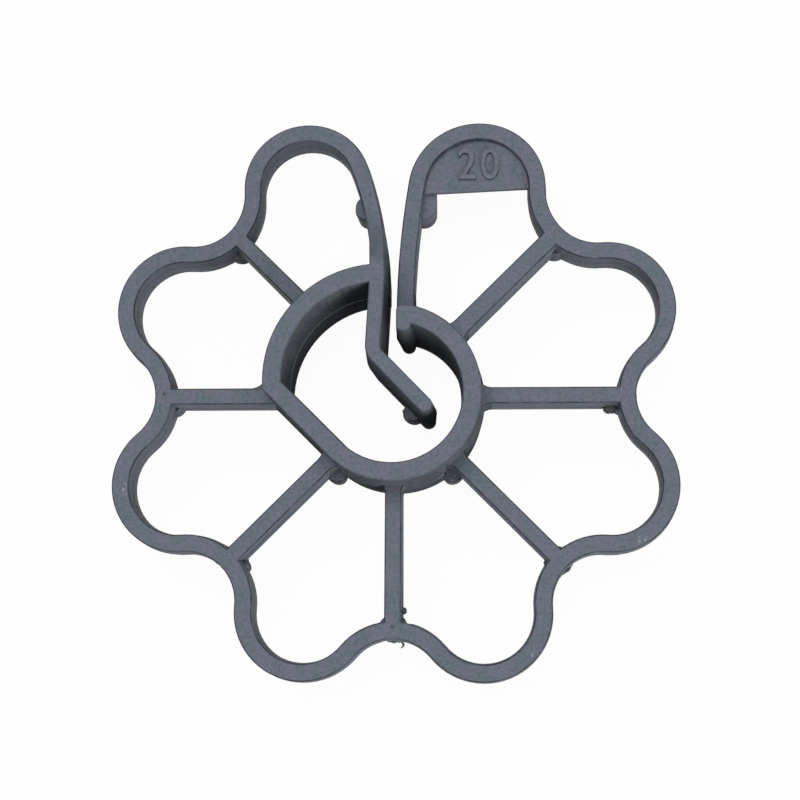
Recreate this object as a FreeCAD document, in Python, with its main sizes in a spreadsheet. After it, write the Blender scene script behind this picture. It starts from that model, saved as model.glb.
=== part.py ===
import FreeCAD, Part
import math
import os
import Sketcher

# Rebar wheel spacer moulded in one piece: a scalloped rim, spokes, and a split hub whose sprung finger
# holds the bar in its seat. The wheel axis is Z, the slot opens towards +Y, and the back of the hub is
# at Z = 0. Every wall is level with the mid-plane of the mould, so the sketches lie in that plane.

# Driving sizes in millimetres and degrees.
sizes = {
    "cover": 20.0,           # from the bar to the tips of the petals
    "bar_size": 12.0,        # largest bar that the seat takes
    "petal_count": 8,        # lobes round the wheel, the slot lying between two of them
    "petal_radius": 5.84,    # outer radius of a lobe
    "valley_reach": 20.89,   # from the axis to the bottom of a valley between lobes
    "rim_wall": 1.5,
    "rim_depth": 3.5,
    "hub_depth": 10.0,
    "hub_wall": 1.6,
    "seat_radius": 6.05,     # inner radius of the hub where the largest bar sits
    "seat_down": 0.18,       # centre of the seat below the wheel axis
    "flat_angle": 135.0,     # direction in which the flat wall leaves the seat
    "relief_radius": 8.42,   # inner radius of the wide side of the hub
    "relief_left": 1.04,     # centre of the wide side, left of the axis
    "relief_up": 0.95,       # centre of the wide side, above the axis
    "slot_left": 0.65,       # from the slot's axis to the wall on its left
    "slot_right": 0.2,       # from the slot's axis to the wall on its right
    "ramp_length": 4.6,      # where the left wall thickens from rim depth to hub depth
    "left_petal_radius": 5.65,
    "right_petal_turn": 0.75,  # by which the lobe on the right leans over the slot
    "arch_radius": 6.25,     # wider shoulder of that lobe
    "arch_angle": 80.0,      # where that shoulder takes over from the lobe
    "spoke_width": 1.42,
    "flare_radius": 1.3,     # flared roots of the spokes
    "flare_bite": 0.2,       # how far the flares sink into the hub
    "finger_wall": 1.3,
    "elbow_round": 0.6,      # inner radius of the finger's bend
    "elbow_left": 0.39,      # centre of that bend
    "elbow_up": 3.8,
    "toe_right": 2.8,        # centre of the finger's round end
    "toe_down": 1.3,
    "nose_radius": 0.63,
    "nose_drop": 0.24,       # centre of the nose's tip below the seat circle
    "nose_inset": 0.15,      # end of the hub's ring behind the wall on the slot's right
    "nose_round": 0.6,       # outer corner of that end
    "plate_thickness": 0.55,
    "plate_recess": 0.45,    # number plate below the front of the rim
    "plate_drop_left": 0.5,  # ends of the plate's lower edge below the centre of its lobe
    "plate_drop_right": 0.05,
    "boss_radius": 1.2,      # ejector bosses on the rim
    "boss_proud": 0.8,       # how far they stand behind the rim
    "boss_lip": 0.32,        # how far those in the valleys stand out of the rim
    "boss_rise": 0.85,       # how far the two beside the slot rise in front of the mid-plane
    "boss_reach": 2.4,       # right one of the two from the slot's axis
    "boss_drop": 1.3,        # right one below the centre of its lobe
    "left_boss_radius": 1.0,
    "left_boss_reach": 2.55,
    "left_boss_drop": 1.5,
    "stud_radius": 0.65,     # ejector studs on the hub and the finger
    "stud_depth": 1.75,      # depth of those studs behind the mid-plane
    "toe_stud_left": 1.18,   # stud on the finger from the centre of its end
    "toe_stud_up": 0.2,
}

START, END, CENTRE = range(1, 4)
LEVEL_AXIS, UPRIGHT_AXIS = range(-1, -3, -1)
ORIGIN = (LEVEL_AXIS, START)
STUD_SPOKE = 3               # the spokes with studs at their roots, counted from the slot either way

document = FreeCAD.newDocument("wheel_spacer")
sheet = document.addObject("Spreadsheet::Sheet", "Sizes")
for row, (name, number) in enumerate(sizes.items(), start=1):
    sheet.set(f"A{row}", name)
    sheet.set(f"B{row}", str(number))
    sheet.setAlias(f"B{row}", name)
document.recompute()

body = document.addObject("PartDesign::Body", "wheel_spacer")
body.Label = "wheel_spacer"
body.setExpression("Placement.Base.z", "Sizes.hub_depth / 2")
origin_parts = {part.Role: part for part in body.Origin.OriginFeatures}

# Expressions and numbers for the places that several features share.
pitch_text = "(360 / Sizes.petal_count)"
petal_reach_text = "(Sizes.bar_size / 2 + Sizes.cover - Sizes.petal_radius)"
hub_radius_text = "(Sizes.seat_radius + Sizes.hub_wall)"
relief_top_text = "(Sizes.relief_up + Sizes.relief_radius + Sizes.hub_wall)"
foot_text = f"({relief_top_text} - Sizes.hub_wall / 2)"
ring_middle_text = "(Sizes.seat_radius + Sizes.hub_wall / 2 - Sizes.seat_down)"
ring_end_text = "(Sizes.slot_right + Sizes.nose_inset)"
rim_middle_text = "(Sizes.valley_reach - Sizes.rim_wall / 2)"
right_angle_text = f"90 - {pitch_text} / 2 + Sizes.right_petal_turn"
petal_height_text = f"({petal_reach_text} * cos({pitch_text} * 0.5 deg))"

pitch = 360 / sizes["petal_count"]
slot_axis = 90.0
right_petal_angle = slot_axis - pitch / 2 + sizes["right_petal_turn"]
petal_radius = sizes["petal_radius"]
rim_wall = sizes["rim_wall"]
petal_reach = sizes["bar_size"] / 2 + sizes["cover"] - petal_radius
valley_reach = sizes["valley_reach"]
along = petal_reach * math.cos(math.radians(pitch / 2))
valley_radius = ((petal_radius ** 2 - valley_reach ** 2 - petal_reach ** 2 + 2 * along * valley_reach)
                 / (2 * (valley_reach - along - petal_radius)))
valley_centre_reach = valley_reach + valley_radius
hub_radius = sizes["seat_radius"] + sizes["hub_wall"]
ring_middle = sizes["seat_radius"] + sizes["hub_wall"] / 2 - sizes["seat_down"]
ring_end = sizes["slot_right"] + sizes["nose_inset"]
foot_height = sizes["relief_up"] + sizes["relief_radius"] + sizes["hub_wall"] / 2
finger_wall = sizes["finger_wall"]


def point(x, y):
    return FreeCAD.Vector(x, y, 0)


def polar(reach, degrees):
    return point(reach * math.cos(math.radians(degrees)), reach * math.sin(math.radians(degrees)))


def heading(start, end):
    return math.degrees(math.atan2(end.y - start.y, end.x - start.x))


class Outline:
    """A closed outline in a sketch of the body, with its sizes taken from the sheet."""

    def __init__(self, name, plane="XY_Plane"):
        self.sketch = body.newObject("Sketcher::SketchObject", name)
        self.sketch.AttachmentSupport = [(origin_parts[plane], "")]
        self.sketch.MapMode = "FlatFace"

    def line(self, start, end, guide=False):
        return self.sketch.addGeometry(Part.LineSegment(start, end), guide)

    def arc(self, centre, start, end):
        """An arc that runs anticlockwise from start to end."""
        circle = Part.Circle(centre, FreeCAD.Vector(0, 0, 1), (start - centre).Length)
        first = math.radians(heading(centre, start))
        last = math.radians(heading(centre, end))
        if last < first:
            last += 2 * math.pi
        return self.sketch.addGeometry(Part.ArcOfCircle(circle, first, last), False)

    def hold(self, kind, *items):
        return self.sketch.addConstraint(Sketcher.Constraint(kind, *items))

    def join(self, *pairs):
        """Joins each pair of ends, given as (piece, end, piece, end)."""
        for pair in pairs:
            self.hold("Coincident", *pair)

    def blend(self, *pairs):
        """Joins each pair of ends smoothly."""
        for pair in pairs:
            self.hold("Tangent", *pair)

    def reading(self, kind, items):
        """What a dimension reads on the outline as it is drawn."""
        if kind == "Radius":
            return self.sketch.Geometry[items[0]].Radius
        if kind == "Angle":
            guide = self.sketch.Geometry[items[2]]
            return math.radians(heading(guide.StartPoint, guide.EndPoint))
        if len(items) == 1:
            return self.sketch.Geometry[items[0]].length()
        step = self.sketch.getPoint(*items[2:]) - self.sketch.getPoint(*items[:2])
        return {"Distance": step.Length, "DistanceX": step.x, "DistanceY": step.y}[kind]

    def size(self, name, text, kind, *items):
        """Adds a dimension whose value is an expression in the sheet's sizes."""
        index = self.hold(kind, *items, self.reading(kind, items))
        self.sketch.renameConstraint(index, name)
        self.sketch.setExpression(f"Constraints.{name}", text)

    def ray(self, name, end, angle_text, reach_text=None):
        """A guide line from the origin at an angle, with a length if one is given."""
        guide = self.line(point(0, 0), end, guide=True)
        self.join((guide, START, *ORIGIN))
        self.size(f"{name}_angle", angle_text, "Angle", LEVEL_AXIS, START, guide, START)
        if reach_text:
            self.size(f"{name}_reach", reach_text, "Distance", guide)
        return guide

    def rim_end(self, degrees):
        """The short line across the rim's wall in the middle of a valley."""
        return self.line(polar(valley_reach, degrees), polar(valley_reach - rim_wall, degrees))

    def turn(self, angle_text):
        """Turns the whole sketch about the wheel axis."""
        upright = FreeCAD.Vector(0, 0, 1)
        self.sketch.AttachmentOffset = FreeCAD.Placement(point(0, 0), FreeCAD.Rotation(upright, 1))
        self.sketch.setExpression("AttachmentOffset.Rotation.Angle", angle_text)


def pad(name, outline, depth_text):
    """Adds an outline's solid, as deep in front of the sketch as behind it."""
    feature = body.newObject("PartDesign::Pad", name)
    feature.Profile = outline.sketch
    feature.SideType = "Symmetric"
    feature.setExpression("Length", depth_text)
    document.recompute()
    return feature


def cut_through(name, outline):
    feature = body.newObject("PartDesign::Pocket", name)
    feature.Profile = outline.sketch
    feature.SideType = "Symmetric"
    feature.Type = "ThroughAll"
    document.recompute()
    return feature


def stud(name, x_text, y_text, radius_text, back_text, front_text):
    """Adds an upright cylinder between two heights above the mid-plane."""
    feature = body.newObject("PartDesign::AdditiveCylinder", name)
    feature.AttachmentSupport = [(origin_parts["XY_Plane"], "")]
    feature.MapMode = "FlatFace"
    feature.setExpression("AttachmentOffset.Base.x", x_text)
    feature.setExpression("AttachmentOffset.Base.y", y_text)
    feature.setExpression("AttachmentOffset.Base.z", back_text)
    feature.setExpression("Radius", radius_text)
    feature.setExpression("Height", f"{front_text} - {back_text}")
    document.recompute()
    return feature


def round_upright(name, radius_text, wanted):
    """Rounds the upright edges of the body whose place, as x and y, is wanted."""
    edges = []
    for index, edge in enumerate(body.Tip.Shape.Edges, start=1):
        step = edge.Vertexes[-1].Point - edge.Vertexes[0].Point
        if abs(step.z) > math.hypot(step.x, step.y) and wanted(edge.CenterOfMass):
            edges.append(f"Edge{index}")
    feature = body.newObject("PartDesign::Fillet", name)
    feature.Base = (feature.BaseFeature, edges)
    feature.setExpression("Radius", radius_text)
    document.recompute()
    return feature


def repeat(name, feature, count_text, span_text):
    """Repeats a feature round the wheel axis."""
    pattern = body.newObject("PartDesign::PolarPattern", name)
    pattern.Originals = [feature]
    pattern.Axis = (origin_parts["Z_Axis"], [""])
    pattern.setExpression("Occurrences", count_text)
    pattern.setExpression("Angle", span_text)
    body.Tip = pattern
    document.recompute()
    return pattern


def hub_wall_outline(name, radius_text, relief_text, seat_radius, relief_radius):
    """Draws the seat arc, the flat that leaves it and the relief arc, for one face of the hub's wall."""
    outline = Outline(name)
    seat_centre = point(0, -sizes["seat_down"])
    relief_centre = point(-sizes["relief_left"], sizes["relief_up"])
    tangent = seat_centre + polar(seat_radius, sizes["flat_angle"] + 90)
    run = polar(1, sizes["flat_angle"])
    gap = tangent - relief_centre
    lean = gap.dot(run)
    corner = tangent + run * (math.sqrt(lean ** 2 - gap.Length ** 2 + relief_radius ** 2) - lean)
    right = seat_centre + point(ring_end, math.sqrt(seat_radius ** 2 - ring_end ** 2))
    across = sizes["relief_left"] - sizes["slot_left"]
    left = point(-sizes["slot_left"], sizes["relief_up"] + math.sqrt(relief_radius ** 2 - across ** 2))
    seat = outline.arc(seat_centre, tangent, right)
    flat = outline.line(tangent, corner)
    relief = outline.arc(relief_centre, left, corner)
    outline.join((flat, END, relief, END))
    outline.hold("PointOnObject", seat, CENTRE, UPRIGHT_AXIS)
    outline.blend((flat, START, seat, START))
    outline.size("seat", radius_text, "Radius", seat)
    outline.size("seat_down", "Sizes.seat_down", "DistanceY", seat, CENTRE, *ORIGIN)
    outline.size("relief", relief_text, "Radius", relief)
    outline.size("flat_angle", "Sizes.flat_angle", "Angle", LEVEL_AXIS, START, flat, START)
    outline.size("relief_left", "Sizes.relief_left", "DistanceX", relief, CENTRE, *ORIGIN)
    outline.size("relief_up", "Sizes.relief_up", "DistanceY", *ORIGIN, relief, CENTRE)
    outline.size("slot_left", "Sizes.slot_left", "DistanceX", relief, START, *ORIGIN)
    outline.size("ring_end", ring_end_text, "DistanceX", *ORIGIN, seat, END)
    return outline, seat, relief, left, right


def hub_blank():
    """The hub's outer form, with the mouth of the slot left open."""
    relief_text = "Sizes.relief_radius + Sizes.hub_wall"
    relief_radius = sizes["relief_radius"] + sizes["hub_wall"]
    outline, seat, relief, left, right = hub_wall_outline(
        "HubOutline", hub_radius_text, relief_text, hub_radius, relief_radius)
    left_side = outline.line(left, point(left.x, 0))
    mouth = outline.line(point(left.x, 0), point(right.x, 0))
    right_side = outline.line(point(right.x, 0), right)
    outline.join((relief, START, left_side, START), (left_side, END, mouth, START))
    outline.join((mouth, END, right_side, START), (right_side, END, seat, END))
    outline.hold("Vertical", left_side)
    outline.hold("Vertical", right_side)
    outline.hold("Horizontal", mouth)
    outline.hold("PointOnObject", mouth, START, LEVEL_AXIS)
    pad("HubBlank", outline, "Sizes.hub_depth")
    round_upright("RingEndRound", "Sizes.nose_round",
                  lambda place: place.x > 0 and place.y > sizes["seat_radius"])


def hub_hollow():
    """The hollow for the bar, which also trims the inner ends of the spokes."""
    outline, seat, relief, left, right = hub_wall_outline(
        "HollowOutline", "Sizes.seat_radius", "Sizes.relief_radius",
        sizes["seat_radius"], sizes["relief_radius"])
    mouth = outline.line(left, right)
    outline.join((relief, START, mouth, START), (mouth, END, seat, END))
    cut_through("Hollow", outline)


def spokes():
    """Spokes with flared roots, from the hub to the valleys of the rim."""
    flare = sizes["flare_radius"]
    half_width = sizes["spoke_width"] / 2
    reach = hub_radius + flare - sizes["flare_bite"]
    rise = half_width + flare
    upper = point(math.sqrt(reach ** 2 - rise ** 2), rise)
    lower = point(upper.x, -rise)
    upper_root = upper * ((reach - flare) / reach)
    lower_root = lower * ((reach - flare) / reach)
    tip = valley_reach - rim_wall / 2
    outline = Outline("SpokeOutline")
    root = outline.line(lower_root, upper_root)
    upper_flare = outline.arc(upper, upper_root, point(upper.x, half_width))
    upper_edge = outline.line(point(upper.x, half_width), point(tip, half_width))
    end = outline.line(point(tip, half_width), point(tip, -half_width))
    lower_edge = outline.line(point(tip, -half_width), point(lower.x, -half_width))
    lower_flare = outline.arc(lower, point(lower.x, -half_width), lower_root)
    upper_guide = outline.line(point(0, 0), upper, guide=True)
    lower_guide = outline.line(point(0, 0), lower, guide=True)
    outline.join((upper_guide, START, *ORIGIN), (upper_guide, END, upper_flare, CENTRE))
    outline.join((lower_guide, START, *ORIGIN), (lower_guide, END, lower_flare, CENTRE))
    outline.join((root, END, upper_flare, START), (root, START, lower_flare, END))
    outline.join((upper_edge, END, end, START), (end, END, lower_edge, START))
    outline.blend((upper_flare, END, upper_edge, START), (lower_edge, END, lower_flare, START))
    outline.hold("PointOnObject", upper_flare, START, upper_guide)
    outline.hold("PointOnObject", lower_flare, END, lower_guide)
    outline.hold("Symmetric", upper_flare, CENTRE, lower_flare, CENTRE, LEVEL_AXIS)
    outline.hold("Equal", upper_flare, lower_flare)
    outline.hold("Horizontal", upper_edge)
    outline.hold("Horizontal", lower_edge)
    outline.hold("Vertical", end)
    outline.size("flare", "Sizes.flare_radius", "Radius", upper_flare)
    reach_text = f"{hub_radius_text} + Sizes.flare_radius - Sizes.flare_bite"
    outline.size("reach", reach_text, "Distance", upper_guide)
    outline.size("half_width", "Sizes.spoke_width / 2", "DistanceY", *ORIGIN, upper_edge, START)
    outline.size("tip", rim_middle_text, "DistanceX", *ORIGIN, end, START)
    outline.turn(f"90 + {pitch_text}")
    spoke = pad("Spoke", outline, "Sizes.rim_depth")
    repeat("Spokes", spoke, "Sizes.petal_count - 1", f"(Sizes.petal_count - 2) * {pitch_text}")


def rim_petals():
    """The plain lobes of the rim, each reaching to the middle of the valleys beside it."""
    inner_radius = petal_radius - rim_wall
    petal = point(petal_reach, 0)
    upper = polar(valley_centre_reach, pitch / 2)
    lower = polar(valley_centre_reach, -pitch / 2)
    outline = Outline("PetalOutline")
    pieces = []
    for radius, crest in ((petal_radius, valley_reach), (inner_radius, valley_reach - rim_wall)):
        upper_tangent = petal + (upper - petal).normalize() * radius
        lower_tangent = petal + (lower - petal).normalize() * radius
        lobe = outline.arc(petal, lower_tangent, upper_tangent)
        above = outline.arc(upper, polar(crest, pitch / 2), upper_tangent)
        below = outline.arc(lower, lower_tangent, polar(crest, -pitch / 2))
        outline.blend((lobe, END, above, END), (lobe, START, below, START))
        pieces.append((lobe, above, below))
    (lobe, above, below), (inner_lobe, inner_above, inner_below) = pieces
    upper_end = outline.rim_end(pitch / 2)
    lower_end = outline.rim_end(-pitch / 2)
    outline.join((upper_end, START, above, START), (upper_end, END, inner_above, START))
    outline.join((lower_end, START, below, END), (lower_end, END, inner_below, END))
    upper_ray = outline.ray("valley", upper, f"{pitch_text} / 2")
    lower_ray = outline.line(point(0, 0), lower, guide=True)
    outline.join((upper_ray, END, above, CENTRE), (lower_ray, END, below, CENTRE))
    outline.join((lower_ray, START, *ORIGIN))
    outline.join((inner_lobe, CENTRE, lobe, CENTRE))
    outline.join((inner_above, CENTRE, above, CENTRE), (inner_below, CENTRE, below, CENTRE))
    outline.hold("Symmetric", above, CENTRE, below, CENTRE, LEVEL_AXIS)
    outline.hold("PointOnObject", lobe, CENTRE, LEVEL_AXIS)
    outline.hold("PointOnObject", above, START, upper_ray)
    outline.hold("PointOnObject", inner_above, START, upper_ray)
    outline.hold("PointOnObject", below, END, lower_ray)
    outline.hold("PointOnObject", inner_below, END, lower_ray)
    outline.size("petal", "Sizes.petal_radius", "Radius", lobe)
    outline.size("inner_petal", "Sizes.petal_radius - Sizes.rim_wall", "Radius", inner_lobe)
    outline.size("petal_reach", petal_reach_text, "DistanceX", *ORIGIN, lobe, CENTRE)
    outline.size("valley_reach", "Sizes.valley_reach", "Distance", *ORIGIN, above, START)
    outline.turn(f"90 + {pitch_text} * 3 / 2")
    petal_pad = pad("Petal", outline, "Sizes.rim_depth")
    repeat("Petals", petal_pad, "Sizes.petal_count - 2", f"(Sizes.petal_count - 3) * {pitch_text}")


def wall_arc(lobe, radius, foot):
    """Centre of the arc that is upright at its foot and runs into a lobe of the given radius."""
    across = lobe.x - foot.x
    rise = lobe.y - foot.y
    bend = (across ** 2 + rise ** 2 - radius ** 2) / (2 * (abs(across) - radius))
    return foot + point(math.copysign(bend, across), 0)


def left_petal():
    """The lobe left of the slot, whose wall runs down to the hub and thickens into the finger's root."""
    lobe_radius = sizes["left_petal_radius"]
    petal = polar(petal_reach + petal_radius - lobe_radius, slot_axis + pitch / 2)
    valley = polar(valley_centre_reach, slot_axis + pitch)
    outline = Outline("LeftPetalOutline")
    pieces = []
    heel = point(-sizes["slot_left"], foot_height)
    outer = (lobe_radius, valley_reach, heel)
    inner = (lobe_radius - rim_wall, valley_reach - rim_wall, heel - point(finger_wall, 0))
    for radius, crest, foot in (outer, inner):
        centre = wall_arc(petal, radius, foot)
        far = petal + (valley - petal).normalize() * radius
        near = petal + (petal - centre).normalize() * radius
        lobe = outline.arc(petal, near, far)
        dip = outline.arc(valley, polar(crest, slot_axis + pitch), far)
        wall = outline.arc(centre, foot, near)
        outline.blend((lobe, END, dip, END), (lobe, START, wall, END))
        outline.hold("Horizontal", wall, START, wall, CENTRE)
        pieces.append((lobe, dip, wall))
    (lobe, dip, wall), (inner_lobe, inner_dip, inner_wall) = pieces
    end = outline.rim_end(slot_axis + pitch)
    sole = outline.line(heel, heel - point(finger_wall, 0))
    outline.join((end, START, dip, START), (end, END, inner_dip, START))
    outline.join((sole, START, wall, START), (sole, END, inner_wall, START))
    left_reach_text = "Sizes.bar_size / 2 + Sizes.cover - Sizes.left_petal_radius"
    petal_ray = outline.ray("petal", petal, f"90 + {pitch_text} / 2", left_reach_text)
    valley_ray = outline.ray("valley", valley, f"90 + {pitch_text}")
    outline.join((petal_ray, END, lobe, CENTRE), (valley_ray, END, dip, CENTRE))
    outline.join((inner_lobe, CENTRE, lobe, CENTRE), (inner_dip, CENTRE, dip, CENTRE))
    outline.hold("PointOnObject", dip, START, valley_ray)
    outline.hold("PointOnObject", inner_dip, START, valley_ray)
    outline.hold("Horizontal", sole)
    outline.size("petal", "Sizes.left_petal_radius", "Radius", lobe)
    outline.size("inner_petal", "Sizes.left_petal_radius - Sizes.rim_wall", "Radius", inner_lobe)
    outline.size("valley_reach", "Sizes.valley_reach", "Distance", *ORIGIN, dip, START)
    outline.size("slot_left", "Sizes.slot_left", "DistanceX", wall, START, *ORIGIN)
    outline.size("finger_wall", "Sizes.finger_wall", "Distance", sole)
    outline.size("foot_height", foot_text, "DistanceY", *ORIGIN, wall, START)
    pad("LeftPetal", outline, "Sizes.hub_depth")


def shave(name, plane, facing, reaches, reach_texts):
    """Takes all that lies beyond a ramp down to rim depth, in front and behind.

    The ramp's two ends and the far end of the cut are reaches along the first axis of the plane.
    """
    low, high, far = [point(reach * facing, 0) for reach in reaches]
    half_rim = sizes["rim_depth"] / 2
    half_hub = sizes["hub_depth"] / 2
    outline = Outline(f"{name}Outline", plane)

    def measure(label, text, kind, sign, piece, end):
        ends = (*ORIGIN, piece, end) if sign > 0 else (piece, end, *ORIGIN)
        outline.size(label, text, kind, *ends)

    for side, sign in (("front", 1), ("back", -1)):
        ramp = outline.line(low + point(0, half_hub * sign), high + point(0, half_rim * sign))
        face = outline.line(high + point(0, half_rim * sign), far + point(0, half_rim * sign))
        end = outline.line(far + point(0, half_rim * sign), far + point(0, half_hub * sign))
        top = outline.line(far + point(0, half_hub * sign), low + point(0, half_hub * sign))
        outline.join((ramp, END, face, START), (face, END, end, START))
        outline.join((end, END, top, START), (top, END, ramp, START))
        outline.hold("Horizontal", face)
        outline.hold("Horizontal", top)
        outline.hold("Vertical", end)
        measure(f"{side}_rim", "Sizes.rim_depth / 2", "DistanceY", sign, face, START)
        measure(f"{side}_hub", "Sizes.hub_depth / 2", "DistanceY", sign, top, START)
        for label, text, piece in zip(("low", "high", "far"), reach_texts, (ramp, face, end)):
            measure(f"{side}_{label}", text, "DistanceX", facing, piece, START)
    cut_through(name, outline)


def rim_shaves():
    """Leave the lobe left of the slot at rim depth, but for a long ramp on its wall above the hub."""
    low = foot_height + sizes["hub_wall"] / 2
    middle = petal_reach * math.sin(math.radians(pitch / 2))
    far = petal_reach + 2 * petal_radius
    middle_text = f"{petal_reach_text} * sin({pitch_text} * 0.5 deg)"
    far_text = f"{petal_reach_text} + 2 * Sizes.petal_radius"
    shave("WallShave", "YZ_Plane", 1, (low, low + sizes["ramp_length"], far),
          (relief_top_text, f"{relief_top_text} + Sizes.ramp_length", far_text))
    shave("LobeShave", "XZ_Plane", -1, (middle, middle + rim_wall, far),
          (middle_text, f"{middle_text} + Sizes.rim_wall", far_text))


def arch_centre(petal):
    return petal - polar(sizes["arch_radius"] - petal_radius, sizes["arch_angle"])


def right_petal():
    """The lobe right of the slot, with a wider shoulder and a wall that runs down to the hub's ring."""
    petal = polar(petal_reach, right_petal_angle)
    valley = polar(valley_centre_reach, slot_axis - pitch)
    arch = arch_centre(petal)
    outline = Outline("RightPetalOutline")
    pieces = []
    for inset in (0, rim_wall):
        foot = point(sizes["slot_right"] + inset, ring_middle)
        far = petal + (valley - petal).normalize() * (petal_radius - inset)
        top = petal + polar(petal_radius - inset, sizes["arch_angle"])
        centre = wall_arc(arch, sizes["arch_radius"] - inset, foot)
        near = arch + (arch - centre).normalize() * (sizes["arch_radius"] - inset)
        lobe = outline.arc(petal, far, top)
        dip = outline.arc(valley, far, polar(valley_reach - inset, slot_axis - pitch))
        bow = outline.arc(arch, top, near)
        wall = outline.arc(centre, near, foot)
        outline.blend((lobe, START, dip, START), (lobe, END, bow, START), (bow, END, wall, START))
        outline.hold("Horizontal", wall, END, wall, CENTRE)
        pieces.append((lobe, dip, bow, wall))
    (lobe, dip, bow, wall), (inner_lobe, inner_dip, inner_bow, inner_wall) = pieces
    end = outline.rim_end(slot_axis - pitch)
    sole = outline.line(foot - point(rim_wall, 0), foot)
    outline.join((end, START, dip, END), (end, END, inner_dip, END))
    outline.join((sole, START, wall, END), (sole, END, inner_wall, END))
    petal_ray = outline.ray("petal", petal, right_angle_text, petal_reach_text)
    valley_ray = outline.ray("valley", valley, f"90 - {pitch_text}")
    arch_guide = outline.line(petal, petal + polar(petal_radius, sizes["arch_angle"]), guide=True)
    outline.join((petal_ray, END, lobe, CENTRE), (valley_ray, END, dip, CENTRE))
    outline.join((arch_guide, START, lobe, CENTRE), (arch_guide, END, lobe, END))
    outline.join((inner_lobe, CENTRE, lobe, CENTRE), (inner_dip, CENTRE, dip, CENTRE))
    outline.join((inner_bow, CENTRE, bow, CENTRE))
    outline.hold("PointOnObject", dip, END, valley_ray)
    outline.hold("PointOnObject", inner_dip, END, valley_ray)
    outline.hold("Horizontal", sole)
    outline.size("petal", "Sizes.petal_radius", "Radius", lobe)
    outline.size("inner_petal", "Sizes.petal_radius - Sizes.rim_wall", "Radius", inner_lobe)
    outline.size("arch", "Sizes.arch_radius", "Radius", bow)
    outline.size("arch_angle", "Sizes.arch_angle", "Angle", LEVEL_AXIS, START, arch_guide, START)
    outline.size("valley_reach", "Sizes.valley_reach", "Distance", *ORIGIN, dip, END)
    outline.size("slot_right", "Sizes.slot_right", "DistanceX", *ORIGIN, wall, END)
    outline.size("foot_height", ring_middle_text, "DistanceY", *ORIGIN, wall, END)
    outline.size("foot_wall", "Sizes.rim_wall", "Distance", sole)
    pad("RightPetal", outline, "Sizes.rim_depth")


def number_plate():
    """The thin web for the cover's number, in the top of the lobe right of the slot."""
    petal = polar(petal_reach, right_petal_angle)
    arch = arch_centre(petal)
    middle = rim_wall / 2
    top = petal + polar(petal_radius - middle, sizes["arch_angle"])
    right_drop = sizes["plate_drop_right"]
    right = petal + point(math.sqrt((petal_radius - middle) ** 2 - right_drop ** 2), -right_drop)
    left_rise = petal.y - sizes["plate_drop_left"] - arch.y
    left = arch + point(-math.sqrt((sizes["arch_radius"] - middle) ** 2 - left_rise ** 2), left_rise)
    outline = Outline("PlateOutline")
    lobe = outline.arc(petal, right, top)
    bow = outline.arc(arch, top, left)
    chord = outline.line(left, right)
    outline.blend((lobe, END, bow, START))
    outline.join((bow, END, chord, START), (chord, END, lobe, START))
    petal_ray = outline.ray("petal", petal, right_angle_text, petal_reach_text)
    arch_guide = outline.line(petal, top, guide=True)
    outline.join((petal_ray, END, lobe, CENTRE))
    outline.join((arch_guide, START, lobe, CENTRE), (arch_guide, END, lobe, END))
    outline.size("petal", "Sizes.petal_radius - Sizes.rim_wall / 2", "Radius", lobe)
    outline.size("arch", "Sizes.arch_radius - Sizes.rim_wall / 2", "Radius", bow)
    outline.size("arch_angle", "Sizes.arch_angle", "Angle", LEVEL_AXIS, START, arch_guide, START)
    outline.size("left_drop", "Sizes.plate_drop_left", "DistanceY", chord, START, lobe, CENTRE)
    outline.size("right_drop", "Sizes.plate_drop_right", "DistanceY", chord, END, lobe, CENTRE)
    outline.sketch.setExpression("AttachmentOffset.Base.z",
                                 "Sizes.rim_depth / 2 - Sizes.plate_recess - Sizes.plate_thickness / 2")
    pad("NumberPlate", outline, "Sizes.plate_thickness")


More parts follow.
